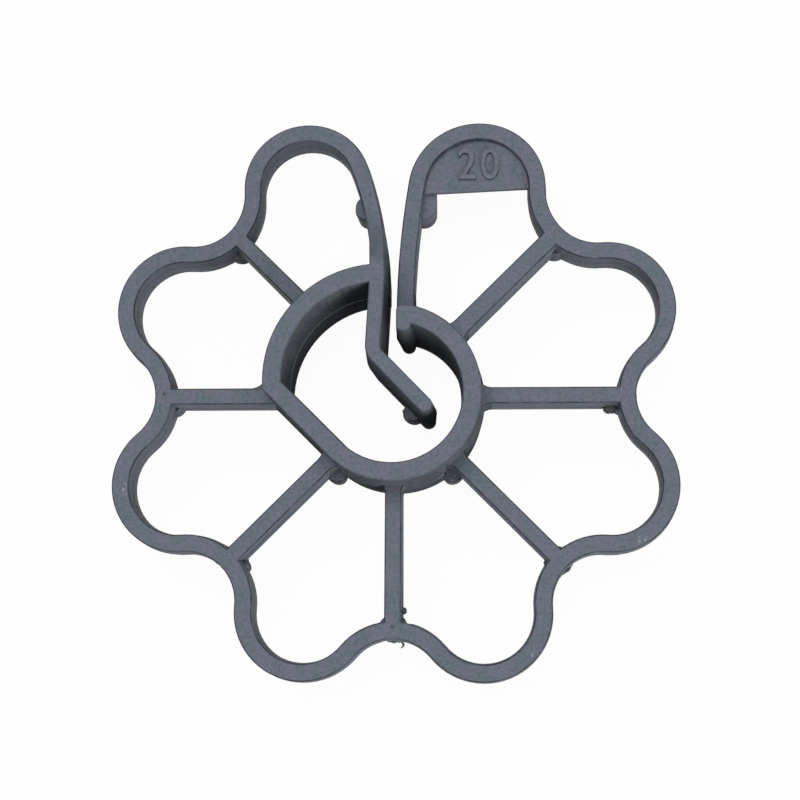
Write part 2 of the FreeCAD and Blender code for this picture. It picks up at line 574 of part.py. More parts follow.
def finger():
    """The sprung finger: a leg down from the hub's top, an elbow and a round toe for the bar."""
    bend_inner = sizes["elbow_round"]
    bend_outer = bend_inner + finger_wall
    elbow = point(-sizes["elbow_left"], sizes["elbow_up"])
    toe = point(sizes["toe_right"], -sizes["toe_down"])
    top = point(-sizes["slot_left"], foot_height)
    middle = (bend_inner + bend_outer) / 2
    slope = heading(elbow, toe) - math.degrees(math.asin(middle / (toe - elbow).Length))
    lean = heading(elbow, top) - math.degrees(math.asin(bend_inner / (top - elbow).Length))
    right_toe = toe + polar(finger_wall / 2, slope + 90)
    left_toe = toe - polar(finger_wall / 2, slope + 90)
    low_inner = elbow - polar(bend_inner, slope + 90)
    low_outer = elbow - polar(bend_outer, slope + 90)
    high_inner = elbow + polar(bend_inner, lean + 90)
    high_outer = elbow + polar(bend_outer, lean + 90)
    left_top = high_outer + polar(1, lean) * ((top.y - high_outer.y) / math.sin(math.radians(lean)))
    outline = Outline("FingerOutline")
    leg = outline.line(top, high_inner)
    inner_bend = outline.arc(elbow, high_inner, low_inner)
    shank = outline.line(low_inner, right_toe)
    tip = outline.arc(toe, left_toe, right_toe)
    under = outline.line(left_toe, low_outer)
    bend = outline.arc(elbow, high_outer, low_outer)
    back = outline.line(high_outer, left_top)
    root = outline.line(left_top, top)
    outline.join((inner_bend, CENTRE, bend, CENTRE))
    outline.join((root, END, leg, START), (root, START, back, END))
    outline.blend((leg, END, inner_bend, START), (inner_bend, END, shank, START))
    outline.blend((shank, END, tip, END), (under, START, tip, START))
    outline.blend((under, END, bend, END), (back, START, bend, START))
    outline.hold("Parallel", leg, back)
    outline.hold("Horizontal", root)
    outline.size("toe_radius", "Sizes.finger_wall / 2", "Radius", tip)
    outline.size("inner_bend", "Sizes.elbow_round", "Radius", inner_bend)
    outline.size("bend", "Sizes.elbow_round + Sizes.finger_wall", "Radius", bend)
    outline.size("toe_right", "Sizes.toe_right", "DistanceX", *ORIGIN, tip, CENTRE)
    outline.size("toe_down", "Sizes.toe_down", "DistanceY", tip, CENTRE, *ORIGIN)
    outline.size("elbow_left", "Sizes.elbow_left", "DistanceX", bend, CENTRE, *ORIGIN)
    outline.size("elbow_up", "Sizes.elbow_up", "DistanceY", *ORIGIN, bend, CENTRE)
    outline.size("slot_left", "Sizes.slot_left", "DistanceX", leg, START, *ORIGIN)
    outline.size("foot_height", foot_text, "DistanceY", *ORIGIN, leg, START)
    pad("Finger", outline, "Sizes.hub_depth")


def nose():
    """The rounded end of the hub's ring, which stands in from the seat beside the slot."""
    radius = sizes["nose_radius"]
    tip_height = sizes["seat_radius"] - sizes["seat_down"] - sizes["nose_drop"]
    tip = point(ring_end + radius, tip_height)
    outline = Outline("NoseOutline")
    round_end = outline.arc(tip, tip - point(radius, 0), tip + point(radius, 0))
    right = outline.line(tip + point(radius, 0), point(tip.x + radius, ring_middle))
    top = outline.line(point(tip.x + radius, ring_middle), point(tip.x - radius, ring_middle))
    left = outline.line(point(tip.x - radius, ring_middle), tip - point(radius, 0))
    outline.blend((round_end, END, right, START), (left, END, round_end, START))
    outline.join((right, END, top, START), (top, END, left, START))
    outline.hold("Vertical", right)
    outline.hold("Vertical", left)
    outline.hold("Horizontal", top)
    outline.size("nose", "Sizes.nose_radius", "Radius", round_end)
    outline.size("ring_end", ring_end_text, "DistanceX", *ORIGIN, left, START)
    tip_text = "Sizes.seat_radius - Sizes.seat_down - Sizes.nose_drop"
    outline.size("tip_height", tip_text, "DistanceY", *ORIGIN, round_end, CENTRE)
    outline.size("ring_middle", ring_middle_text, "DistanceY", *ORIGIN, left, START)
    pad("Nose", outline, "Sizes.hub_depth")


def ejector_bosses():
    """Round bosses behind the rim at the ends of the spokes, and one on the wall each side of the slot.

    The one on the right runs up behind the number plate.
    """
    back_text = "(-Sizes.rim_depth / 2 - Sizes.boss_proud)"
    first_angle = f"(({pitch_text} + 90) * 1 deg)"
    reach_text = "(Sizes.valley_reach + Sizes.boss_lip - Sizes.boss_radius)"
    boss = stud("SpokeBoss", f"{reach_text} * cos{first_angle}", f"{reach_text} * sin{first_angle}",
                "Sizes.boss_radius", back_text, "0")
    repeat("SpokeBosses", boss, "Sizes.petal_count - 1", f"(Sizes.petal_count - 2) * {pitch_text}")
    stud("LeftBoss", "-Sizes.left_boss_reach", f"{petal_height_text} - Sizes.left_boss_drop",
         "Sizes.left_boss_radius", back_text, "Sizes.boss_rise")
    height_text = f"{petal_height_text} - Sizes.boss_drop"
    stud("RightBoss", "Sizes.boss_reach", height_text, "Sizes.boss_radius", back_text, "Sizes.boss_rise")
    block = body.newObject("PartDesign::AdditiveBox", "PlateBlock")
    block.AttachmentSupport = [(origin_parts["XY_Plane"], "")]
    block.MapMode = "FlatFace"
    block.setExpression("AttachmentOffset.Base.x", "Sizes.boss_reach - Sizes.boss_radius")
    block.setExpression("AttachmentOffset.Base.y", height_text)
    block.setExpression("AttachmentOffset.Base.z", back_text)
    block.setExpression("Length", "2 * Sizes.boss_radius")
    block.setExpression("Width", "Sizes.boss_drop")
    block.setExpression("Height", f"Sizes.boss_rise - {back_text}")
    document.recompute()


def ejector_studs():
    """Small studs under the hub, in the corners of the two lower spokes, and on the finger near its toe."""
    out_text = f"({hub_radius_text} + Sizes.stud_radius / 2)"
    aside_text = "(Sizes.spoke_width / 2 + Sizes.stud_radius / 2)"
    angle = f"({pitch_text} * {STUD_SPOKE} deg)"
    across_text = f"({out_text} * sin{angle} + {aside_text} * cos{angle})"
    height_text = f"({out_text} * cos{angle} - {aside_text} * sin{angle})"
    for name, sign in (("LeftStud", "-1"), ("RightStud", "1")):
        stud(name, f"{across_text} * {sign}", height_text, "Sizes.stud_radius", "-Sizes.stud_depth", "0")
    stud("ToeStud", "Sizes.toe_right - Sizes.toe_stud_left", "Sizes.toe_stud_up - Sizes.toe_down",
         "Sizes.stud_radius", "-Sizes.stud_depth", "0")


left_petal()
rim_shaves()
hub_blank()
spokes()
rim_petals()
right_petal()
hub_hollow()
finger()
nose()
number_plate()
ejector_bosses()
ejector_studs()
document.recompute()

for item in document.Objects:
    if "Invalid" in item.State or "Error" in item.State:
        raise RuntimeError(f"{item.Name} failed: {item.State}")
if body.Shape.isNull() or not body.Shape.isValid():
    raise RuntimeError("wheel_spacer has no valid shape")
if len(body.Shape.Solids) != 1:
    raise RuntimeError(f"wheel_spacer is {len(body.Shape.Solids)} solids")

os.makedirs("parts", exist_ok=True)
body.Shape.exportStep("parts/wheel_spacer.step")
print("wheel_spacer", round(body.Shape.Volume, 1), "mm3", body.Shape.BoundBox)
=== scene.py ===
import math

import bmesh
import bpy
from mathutils import Euler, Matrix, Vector


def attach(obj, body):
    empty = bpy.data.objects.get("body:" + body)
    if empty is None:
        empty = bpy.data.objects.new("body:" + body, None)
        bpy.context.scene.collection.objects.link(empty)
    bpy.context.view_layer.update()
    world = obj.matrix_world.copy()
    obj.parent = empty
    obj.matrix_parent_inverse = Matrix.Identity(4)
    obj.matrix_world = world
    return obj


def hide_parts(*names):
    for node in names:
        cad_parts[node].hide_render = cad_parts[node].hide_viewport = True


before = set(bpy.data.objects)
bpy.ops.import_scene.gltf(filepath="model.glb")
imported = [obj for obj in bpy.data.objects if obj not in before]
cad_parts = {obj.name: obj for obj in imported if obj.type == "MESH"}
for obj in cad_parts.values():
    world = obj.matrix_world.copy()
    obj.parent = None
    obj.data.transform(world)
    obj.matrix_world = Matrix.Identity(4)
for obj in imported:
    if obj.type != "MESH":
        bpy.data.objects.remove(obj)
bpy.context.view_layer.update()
mm = 0.001
hair = 0.001 * mm     # levels nearer to each other than this are one level
slack = 0.01 * mm     # room for small errors of the frame's mesh
scene = bpy.context.scene
scene.view_settings.view_transform = "Standard"

# levels and sizes of the wheel that several pieces share, measured from its back
wheel = {
    "back": 0.0,
    "rimBack": 3.25 * mm,
    "parting": 5.0 * mm,
    "rimFront": 6.75 * mm,
    "front": 10.0 * mm,
    "rimHalf": 1.75 * mm,
    "hubHalf": 5.0 * mm,
    "spokeHalf": 0.71 * mm,
    "sector": math.radians(45),
}

# how faces and edges are told apart, mostly by how far their normals point up or down
facing = {
    "wall": 0.1,
    "leaning": 0.3,
    "sloping": 0.7,
    "front": 0.9,
    "level": 0.98,
    "steep": 4.0,                  # an upright edge rises this many times as far as it runs
    "sharp": math.radians(60),
}


def only(piece):
    bpy.ops.object.select_all(action="DESELECT")
    piece.select_set(True)
    bpy.context.view_layer.objects.active = piece


def startPiece(name, add, **settings):
    # a new object from one of the operators that add one
    bpy.ops.object.select_all(action="DESELECT")
    add(**settings)
    piece = bpy.context.object
    piece.name = name
    return piece


def openEdit(piece, kind):
    only(piece)
    bpy.ops.object.mode_set(mode="EDIT")
    bpy.ops.mesh.select_mode(type=kind)
    bpy.ops.mesh.select_all(action="DESELECT")


def closeEdit():
    bpy.ops.object.mode_set(mode="OBJECT")


def pick(piece, part, test):
    # selects the verts, edges or faces that the test names
    mesh = bmesh.from_edit_mesh(piece.data)
    mesh.normal_update()
    for item in getattr(mesh, part):
        item.select_set(bool(test(item)))
    mesh.select_flush_mode()
    bmesh.update_edit_mesh(piece.data)


def moveVerts(piece, shift):
    # shift gives each point its step, or nothing where the point stays
    openEdit(piece, "VERT")
    mesh = bmesh.from_edit_mesh(piece.data)
    mesh.normal_update()
    steps = [(v, shift(v)) for v in mesh.verts]
    for v, step in steps:
        if step is not None:
            v.co += step
    bmesh.update_edit_mesh(piece.data)
    closeEdit()


def placeSelected(size, degrees, place):
    # scaled and turned about the origin, then moved
    bpy.ops.transform.resize(value=size, center_override=(0, 0, 0))
    bpy.ops.transform.rotate(value=math.radians(degrees), orient_axis="Z", center_override=(0, 0, 0))
    bpy.ops.transform.translate(value=place)


def tagFaces(piece, name, test):
    tag = piece.data.attributes.new(name, "FLOAT", "FACE")
    tag.data.foreach_set("value", [float(test(f)) for f in piece.data.polygons])


def isTagged(tag, face):
    return tag[face.index].value > 0.5


def stands(face):
    return abs(face.normal.z) < facing["wall"]


def facesUp(face):
    return face.normal.z > facing["front"]


def isRounded(face):
    return facing["wall"] < abs(face.normal.z) < facing["level"]


def edgeMiddle(edge):
    return (edge.verts[0].co + edge.verts[1].co) / 2


def isUprightEdge(edge):
    step = edge.verts[1].co - edge.verts[0].co
    return abs(step.z) > facing["steep"] * step.xy.length


def isSharp(edge):
    return edge.calc_face_angle_signed(0.0) > facing["sharp"]


def clamp(share):
    return min(max(share, 0.0), 1.0)


# the camera stands nearly over the wheel, a little to its left and towards its slot
cameraSet = {
    "lens": 72.0,
    "sensor": 36.0,
    "clipStart": 10 * mm,
    "turn": (-9.82, -3.34, 0.27),        # wheel as seen from the camera, degrees
    "aim": (0.0, 0.0, 6.75),             # wheel axis at the front of the rim, mm
    "place": (-0.546, 0.390, -138.56),   # that point as seen from the camera, mm
}


def makeCamera():
    data = bpy.data.cameras.new("camera")
    data.lens = cameraSet["lens"]
    data.sensor_width = cameraSet["sensor"]
    data.clip_start = cameraSet["clipStart"]
    camera = bpy.data.objects.new("camera", data)
    scene.collection.objects.link(camera)
    turn = Euler([math.radians(a) for a in cameraSet["turn"]], "XYZ").to_matrix()
    place = turn.transposed() @ Vector(cameraSet["place"])
    camera.rotation_euler = turn.transposed().to_euler("XYZ")
    camera.location = (Vector(cameraSet["aim"]) - place) * mm
    scene.camera = camera


makeCamera()
print("camera set")


def feed(tree, value, socket):
    # a fixed number or colour is set on the socket, anything else is linked to it
    if isinstance(value, float):
        socket.default_value = value
    elif isinstance(value, tuple):
        socket.default_value = (*value, 1.0)
    else:
        tree.links.new(value, socket)


def noiseNode(tree, vector, scale, detail, rough):
    node = tree.nodes.new("ShaderNodeTexNoise")
    node.inputs["Scale"].default_value = scale
    node.inputs["Detail"].default_value = detail
    node.inputs["Roughness"].default_value = rough
    feed(tree, vector, node.inputs["Vector"])
    return node.outputs["Fac"]


def span(tree, value, low, high, lowTo=0.0, highTo=1.0):
    node = tree.nodes.new("ShaderNodeMapRange")
    node.inputs["From Min"].default_value = low
    node.inputs["From Max"].default_value = high
    node.inputs["To Min"].default_value = lowTo
    node.inputs["To Max"].default_value = highTo
    feed(tree, value, node.inputs["Value"])
    return node.outputs["Result"]


def noiseMask(tree, vector, noise, cut):
    return span(tree, noiseNode(tree, vector, *noise), *cut)


def stretched(tree, vector, scale):
    node = tree.nodes.new("ShaderNodeMapping")
    node.inputs["Scale"].default_value = scale
    feed(tree, vector, node.inputs["Vector"])
    return node.outputs["Vector"]


def maths(tree, operation, *values):
    node = tree.nodes.new("ShaderNodeMath")
    node.operation = operation
    for value, socket in zip(values, node.inputs):
        feed(tree, value, socket)
    return node.outputs[0]


def times(tree, first, second):
    return maths(tree, "MULTIPLY", first, second)


def larger(tree, first, second):
    return maths(tree, "MAXIMUM", first, second)


def mixed(tree, mask, first, second, way="MIX"):
    node = tree.nodes.new("ShaderNodeMix")
    node.data_type = "RGBA"
    node.blend_type = way
    feed(tree, mask, node.inputs[0])
    feed(tree, first, node.inputs[6])
    feed(tree, second, node.inputs[7])
    return node.outputs[2]


def attribute(tree, name):
    node = tree.nodes.new("ShaderNodeAttribute")
    node.attribute_name = name
    return node.outputs["Fac"]


def objectPlace(tree):
    return tree.nodes.new("ShaderNodeTexCoord").outputs["Object"]


# grain that both plastics share: each noise has its scale, detail and roughness
mould = {
    "patches": (820.0, 4.0, 0.6),
    "patchCut": (0.36, 0.64),
    "speckle": (2600.0, 4.0, 0.65),
    "draw": (1.0, 1.0, 0.12),         # streaks run the way the part left its mould
    "streaks": (1700.0, 4.0, 0.7),
    "streakCut": (0.40, 0.66),
    "coarse": (900.0, 3.0, 0.5),
    "fine": (5200.0, 3.0, 0.5),
    "fineShare": 0.45,
}


def makeMouldGrain():
    group = bpy.data.node_groups.new("mouldGrain", "ShaderNodeTree")
    for name in ("Patches", "Speckle", "Streaks", "Height"):
        group.interface.new_socket(name, in_out="OUTPUT", socket_type="NodeSocketFloat")
    out = group.nodes.new("NodeGroupOutput")
    where = objectPlace(group)
    drawn = stretched(group, where, mould["draw"])
    coarse = noiseNode(group, where, *mould["coarse"])
    fine = noiseNode(group, where, *mould["fine"])
    feed(group, noiseMask(group, where, mould["patches"], mould["patchCut"]), out.inputs["Patches"])
    feed(group, noiseNode(group, where, *mould["speckle"]), out.inputs["Speckle"])
    feed(group, noiseMask(group, drawn, mould["streaks"], mould["streakCut"]), out.inputs["Streaks"])
    feed(group, maths(group, "MULTIPLY_ADD", fine, mould["fineShare"], coarse), out.inputs["Height"])
    return group


mouldGrain = makeMouldGrain()

# moulded grey plastic, and the torn plastic of the gates, the flash and the studs
plastic = {
    "gloss": 0.08,
    "base": (0.168, 0.192, 0.236),
    "violet": (0.206, 0.190, 0.258),
    "green": (0.136, 0.182, 0.200),
    "speckleCut": (0.25, 0.75),
    "tint": (0.3, 1.0),                 # how much of the patches shows, from speckle to speckle
    "rough": (0.48, 0.66),
    "bump": (0.35, 0.03 * mm),          # strength and depth
    "wall": (0.120, 0.128, 0.146),      # painted shade: walls darker than the fronts
    "deep": (0.092, 0.100, 0.115),      # darker painted shade on the deep walls of the hub
    "drag": (0.190, 0.200, 0.218),
    "dragNoise": (260.0, 3.0, 0.5),     # where the walls are streaked at all
    "dragCut": (0.45, 0.70, 0.0, 0.8),
    "scratchRun": (0.10, 0.10, 1.0),    # thin scratches run round the walls
    "scratchNoise": (4200.0, 3.0, 0.6),
    "scratchCut": (0.60, 0.70, 0.0, 0.7),
    "rubbedAndPaintedLight": (0.205, 0.215, 0.245),    # rubbed tops of the digits, and painted light on the parting line and the studs
    # painted shade along the rounded edges, the low wall round the plate and the sides of the digits
    "edge": (0.040, 0.044, 0.054),
    "edgeShadeNoise": (420.0, 3.0, 0.6),
    "edgeShadeCut": (0.38, 0.60, 0.50, 0.98),    # the last two are the weakest and strongest along an edge
    "grain": (0.76, 0.78, 0.80),        # darkens whatever it lies on
    "grainNoise": (3400.0, 3.0, 0.6),
    "grainCut": (0.44, 0.66),
    "scuff": (0.42, 0.43, 0.45),        # pale flecks where the rim was handled: x, y, radius in mm
    "scuffs": ((-24.1, -8.1, 1.3), (12.2, -22.1, 0.7), (21.2, -12.6, 0.6)),
    "scuffCore": 0.4,
    "fleckNoise": (3000.0, 2.0, 0.5),
    "fleckCut": (0.58, 0.68),
    "speck": (0.070, 0.076, 0.088),     # dark specks beside three of the spokes: x, y, radius in mm
    "specks": ((-0.02, -19.86, 0.20), (-20.11, 0.23, 0.22), (18.09, -0.92, 0.20)),
    "speckCore": 0.3,
    "torn": (0.098, 0.100, 0.114),
    "tornPale": (0.180, 0.184, 0.202),
    "tornRough": (0.60, 0.80),
    "tornBump": (0.9, 0.08 * mm),
}


def near(tree, where, spot, core):
    # full within the core's share of the radius, none beyond it, on the front of the rim
    x, y, radius = spot
    node = tree.nodes.new("ShaderNodeVectorMath")
    node.operation = "DISTANCE"
    feed(tree, where, node.inputs[0])
    node.inputs[1].default_value = (x * mm, y * mm, wheel["rimFront"])
    return span(tree, node.outputs["Value"], radius * core * mm, radius * mm, 1.0, 0.0)


def startPlastic(name, strength, depth):
    material = bpy.data.materials.new(name)
    material.use_nodes = True
    tree = material.node_tree
    shader = tree.nodes["Principled BSDF"]
    shader.inputs["Specular IOR Level"].default_value = plastic["gloss"]
    grain = tree.nodes.new("ShaderNodeGroup")
    grain.node_tree = mouldGrain
    bump = tree.nodes.new("ShaderNodeBump")
    bump.inputs["Strength"].default_value = strength
    bump.inputs["Distance"].default_value = depth
    feed(tree, grain.outputs["Height"], bump.inputs["Height"])
    feed(tree, bump.outputs["Normal"], shader.inputs["Normal"])
    return material, tree, shader, grain


def makeGreyPlastic():
    material, tree, shader, grain = startPlastic("greyPlastic", *plastic["bump"])
    where = objectPlace(tree)
    tint = mixed(tree, grain.outputs["Patches"], plastic["green"], plastic["violet"])
    even = span(tree, grain.outputs["Speckle"], *plastic["speckleCut"], *plastic["tint"])
    colour = mixed(tree, even, plastic["base"], tint)
    # walls get a painted shade, darker still on the deep walls of the hub, are streaked where they were drawn
    # out of the mould, and scratched
    wallShade = mixed(tree, attribute(tree, "deepWall"), plastic["wall"], plastic["deep"])
    streaked = mixed(tree, grain.outputs["Streaks"], wallShade, plastic["drag"])
    dragged = noiseMask(tree, where, plastic["dragNoise"], plastic["dragCut"])
    shadedWallColour = mixed(tree, dragged, wallShade, streaked)
    around = stretched(tree, where, plastic["scratchRun"])
    scratches = noiseMask(tree, around, plastic["scratchNoise"], plastic["scratchCut"])
    shadedWallColour = mixed(tree, scratches, shadedWallColour, plastic["drag"])
    colour = mixed(tree, attribute(tree, "wallShadeRough"), colour, shadedWallColour)
    # paler rubbed tops of the digits and a painted highlight along the parting line, painted shade of uneven
    # strength along the edges, and grain over everything
    colour = mixed(tree, attribute(tree, "rubbedAndPaintedLight"), colour, plastic["rubbedAndPaintedLight"])
    uneven = noiseMask(tree, where, plastic["edgeShadeNoise"], plastic["edgeShadeCut"])
    colour = mixed(tree, times(tree, attribute(tree, "edgeShade"), uneven), colour, plastic["edge"])
    grainy = noiseMask(tree, where, plastic["grainNoise"], plastic["grainCut"])
    colour = mixed(tree, grainy, colour, plastic["grain"], "MULTIPLY")
    flecks = noiseMask(tree, where, plastic["fleckNoise"], plastic["fleckCut"])
    for spot in plastic["scuffs"]:
        handled = times(tree, near(tree, where, spot, plastic["scuffCore"]), flecks)
        colour = mixed(tree, handled, colour, plastic["scuff"])
    for spot in plastic["specks"]:
        colour = mixed(tree, near(tree, where, spot, plastic["speckCore"]), colour, plastic["speck"])
    feed(tree, colour, shader.inputs["Base Color"])
    rough = span(tree, grain.outputs["Speckle"], *plastic["speckleCut"], *plastic["rough"])
    feed(tree, larger(tree, rough, attribute(tree, "wallShadeRough")), shader.inputs["Roughness"])
    return material


def makeTornPlastic():
    material, tree, shader, grain = startPlastic("tornPlastic", *plastic["tornBump"])
    colour = mixed(tree, grain.outputs["Patches"], plastic["torn"], plastic["tornPale"])
    # painted light on the studs
    colour = mixed(tree, attribute(tree, "rubbedAndPaintedLight"), colour, plastic["rubbedAndPaintedLight"])
    feed(tree, colour, shader.inputs["Base Color"])
    rough = span(tree, grain.outputs["Speckle"], *plastic["speckleCut"], *plastic["tornRough"])
    feed(tree, rough, shader.inputs["Roughness"])
    return material


greyPlastic = makeGreyPlastic()
tornPlastic = makeTornPlastic()
print("plastics mixed")


def finishPiece(piece, material, smoothTo):
    only(piece)
    bpy.ops.object.transform_apply(location=True, rotation=True, scale=True)
    bpy.ops.object.shade_smooth_by_angle(angle=smoothTo)
    piece.data.materials.clear()
    piece.data.materials.append(material)
    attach(piece, "root")


# the moulding: the CAD shape with draft towards its parting plane, a parting line and rounded edges
moulding = {
    "mergeGap": 0.002 * mm,
    "flatWithin": math.radians(0.4),
    "edgeRound": 0.11 * mm,
    "edgeSteps": 2,
    "edgeAngle": math.radians(50),   # edges that bend less are left as they are
    "rootRound": 0.9 * mm,       # level spoke on the left, where its underside meets the hub
    "rootSteps": 5,
    "rootAngle": math.radians(-30),
    "rootNear": 0.03 * mm,
    "rootFrom": 10.0 * mm,
    "rootTo": 12.0 * mm,
    "rampLow": 10.97 * mm,       # wall left of the slot runs down from hub depth to rim depth
    "rampTop": 15.57 * mm,
    "rampRows": 24,
    "rampLeft": -3.6 * mm,
    "rampRight": -0.3 * mm,
    "rampNear": 0.02 * mm,
    "rampClear": 1.7 * mm,
    "bossRing": 20.0 * mm,       # bosses sit on this ring, behind the rim
    "bossClear": 1.9 * mm,
    "gateRag": 0.07 * mm,        # torn tops of the bosses
    "gateSeed": 5,
    "lipHalf": 1.3 * mm,
    "valleyReach": 20.89 * mm,   # outside of the rim at the middle of a valley, and its radius there
    "valleyRadius": 4.27 * mm,
    "lips": (                    # degrees, and the share that is left of a boss's lip in that valley
        (0, 0.1), (45, 0.1), (135, 0.1), (180, 0.1), (225, 0.1), (270, 0.5), (315, 0.7),
    ),
    "spokeShift": (              # spokes a little off their angles: degrees, shift of each side
        (45, 0.10 * mm, 0.25 * mm),
        (135, -0.22 * mm, -0.29 * mm),
    ),
    "spokeBlend": 2.0 * mm,
    "spokeFrom": 7.0 * mm,
    "spokeTo": 19.45 * mm,
    "lobeLift": 0.17 * mm,       # lobe left of the slot stands a little high
    "lobeFrom": 16.0 * mm,
    "lobeFull": 21.0 * mm,
    "draft": 0.045,              # walls are fatter at the parting plane by this share of half their height
    "draftReach": 0.17 * mm,
    "lineCuts": (-0.16 * mm, -0.05 * mm, 0.05 * mm, 0.16 * mm),
    "lineHalf": 0.06 * mm,
    "lineProud": 0.015 * mm,
    # painted highlight along the parting line
    "lineHighlight": 0.3,
    "spokeShadeRough": 0.3,            # spokes and rim get less painted wall shade and less roughness than the hub's walls
    "rimShadeRough": 0.5,
    "toneFrom": 9.0 * mm,        # walls between these distances from the axis are the spokes'
    "toneTo": 18.5 * mm,
    "toneHalf": 1.8 * mm,
    "hubEdgeShade": 0.55,             # painted edge shade is lighter on the hub than on the rim
    "hubEdgeFrom": 7.0 * mm,
    "plateStep": (6.35 * mm, 6.68 * mm),    # low wall round the number plate
    "deepFrom": 5.0 * mm,
    "frontDeepShade": 0.8,            # front half of a deep wall gets less painted shade, and the finger none
    "fingerDeepShade": 0.0,
    "fingerReach": 5.0 * mm,
    "smoothTo": math.radians(20),
}


def spokeAxes(degrees):
    angle = math.radians(degrees)
    along = Vector((math.cos(angle), math.sin(angle), 0))
    return along, Vector((-along.y, along.x, 0))


def onRamp(place):
    across = moulding["rampLeft"] < place.x < moulding["rampRight"]
    return across and moulding["rampLow"] - slack < place.y < moulding["rampTop"] + slack


def isRampFace(face):
    spread = any if stands(face) else all
    return spread(onRamp(v.co) for v in face.verts)


def rampHalf(y, eased):
    # half the height of the wall left of the slot, with the plain ramp or the eased one
    share = clamp((y - moulding["rampLow"]) / (moulding["rampTop"] - moulding["rampLow"]))
    if eased:
        share = share * share * (3 - 2 * share)
    return wheel["hubHalf"] - (wheel["hubHalf"] - wheel["rimHalf"]) * share


def rampStep(vertex):
    off = vertex.co.z - wheel["parting"]
    atEdge = abs(abs(off) - rampHalf(vertex.co.y, False)) < moulding["rampNear"]
    if onRamp(vertex.co) and atEdge:
        return Vector((0, 0, math.copysign(rampHalf(vertex.co.y, True), off) - off))
    return None


def easeRamp(piece):
    # the ramp runs smoothly into the hub and into the rim, in front and behind
    rowStep = (moulding["rampTop"] - moulding["rampLow"]) / moulding["rampRows"]
    openEdit(piece, "FACE")
    for row in range(1, moulding["rampRows"]):
        pick(piece, "faces", isRampFace)
        bpy.ops.mesh.bisect(plane_co=(0, moulding["rampLow"] + rowStep * row, 0), plane_no=(0, 1, 0))
    closeEdit()
    moveVerts(piece, rampStep)


def lipStep(vertex):
    # most bosses end nearly flush with the outside of the rim
    reachTo, radius = moulding["valleyReach"], moulding["valleyRadius"]
    for degrees, share in moulding["lips"]:
        along, across = spokeAxes(degrees)
        off = vertex.co.dot(across)
        if abs(off) < moulding["lipHalf"] and vertex.co.z < wheel["parting"] + slack:
            outside = vertex.co.dot(along) - (reachTo + radius - math.sqrt(radius ** 2 - off ** 2))
            if outside > slack:
                return along * outside * (share - 1)
    return None


def settleStep(vertex):
    # two spokes and one lobe lie a little off their nominal places
    step = Vector()
    level = abs(vertex.co.z - wheel["parting"]) < wheel["rimHalf"] + slack
    blend = moulding["spokeBlend"]
    for degrees, below, above in moulding["spokeShift"]:
        along, across = spokeAxes(degrees)
        off = vertex.co.dot(across)
        if level and moulding["spokeFrom"] < vertex.co.dot(along) < moulding["spokeTo"]:
            share = clamp((blend - abs(off)) / (blend - wheel["spokeHalf"]))
            step += across * share * (above if off > 0 else below)
    if vertex.co.x < moulding["rampRight"]:
        rise = (vertex.co.y - moulding["lobeFrom"]) / (moulding["lobeFull"] - moulding["lobeFrom"])
        step.y += moulding["lobeLift"] * clamp(rise)
    return step


def isRoot(edge):
    middle = edgeMiddle(edge)
    beside = abs(middle.y + wheel["spokeHalf"]) < moulding["rootNear"]
    inner = edge.calc_face_angle_signed(0.0) < moulding["rootAngle"]
    within = moulding["rootFrom"] < -middle.x < moulding["rootTo"]
    return beside and inner and within and isUprightEdge(edge)


def nearBoss(place):
    turn = round(math.atan2(place.y, place.x) / wheel["sector"]) * wheel["sector"]
    boss = Vector((math.cos(turn), math.sin(turn))) * moulding["bossRing"]
    return (place.xy - boss).length < moulding["bossClear"]


def isRim(edge):
    # the outline of a front or back face, clear of the bosses behind the rim
    middle = edgeMiddle(edge)
    off = middle.z - wheel["parting"]
    if edge.calc_face_angle_signed(0.0) < moulding["edgeAngle"]:
        return False
    if onRamp(middle) and not isUprightEdge(edge) and abs(off) > moulding["rampClear"]:
        return True
    if abs(edge.verts[0].co.z - edge.verts[1].co.z) > hair:
        return False
    if off < 0 and nearBoss(middle):
        return False
    return any(abs(middle.z - wheel[name]) < hair for name in ("back", "rimBack", "rimFront", "front"))


def isGateTop(vertex):
    return abs(vertex.co.z - wheel["parting"]) < slack and any(facesUp(f) for f in vertex.link_faces)


def isPlateStep(face):
    low, high = moulding["plateStep"]
    return stands(face) and low < face.center.z < high and face.center.x > 0


def edgeShadeShare(face):
    # painted shade on the rounded edges and on the low wall round the number plate
    # the faces that the last bevel made are still selected
    if (face.select and isRounded(face)) or isPlateStep(face):
        return moulding["hubEdgeShade"] if face.center.z > moulding["hubEdgeFrom"] else 1.0
    return 0.0


def wallShadeShare(face):
    # painted wall shade, which also sets how rough the wall is
    reach = face.center.xy.length
    if abs(face.normal.z) > facing["leaning"]:
        return 0.0
    if reach > moulding["toneTo"]:
        return moulding["rimShadeRough"]
    level = abs(face.center.z - wheel["parting"]) < moulding["toneHalf"]
    return moulding["spokeShadeRough"] if level and reach > moulding["toneFrom"] else 1.0


def deepShare(face):
    # painted shade on deep walls: full on the back half, less on the front half, none on the finger
    if face.center.z < wheel["parting"]:
        return 1.0
    onFinger = face.center.xy.length < moulding["fingerReach"]
    return moulding["fingerDeepShade"] if onFinger else moulding["frontDeepShade"]


def onPartingLine(face):
    off = abs(face.center.z - wheel["parting"])
    return off < moulding["lineHalf"] and abs(face.normal.z) < facing["front"]


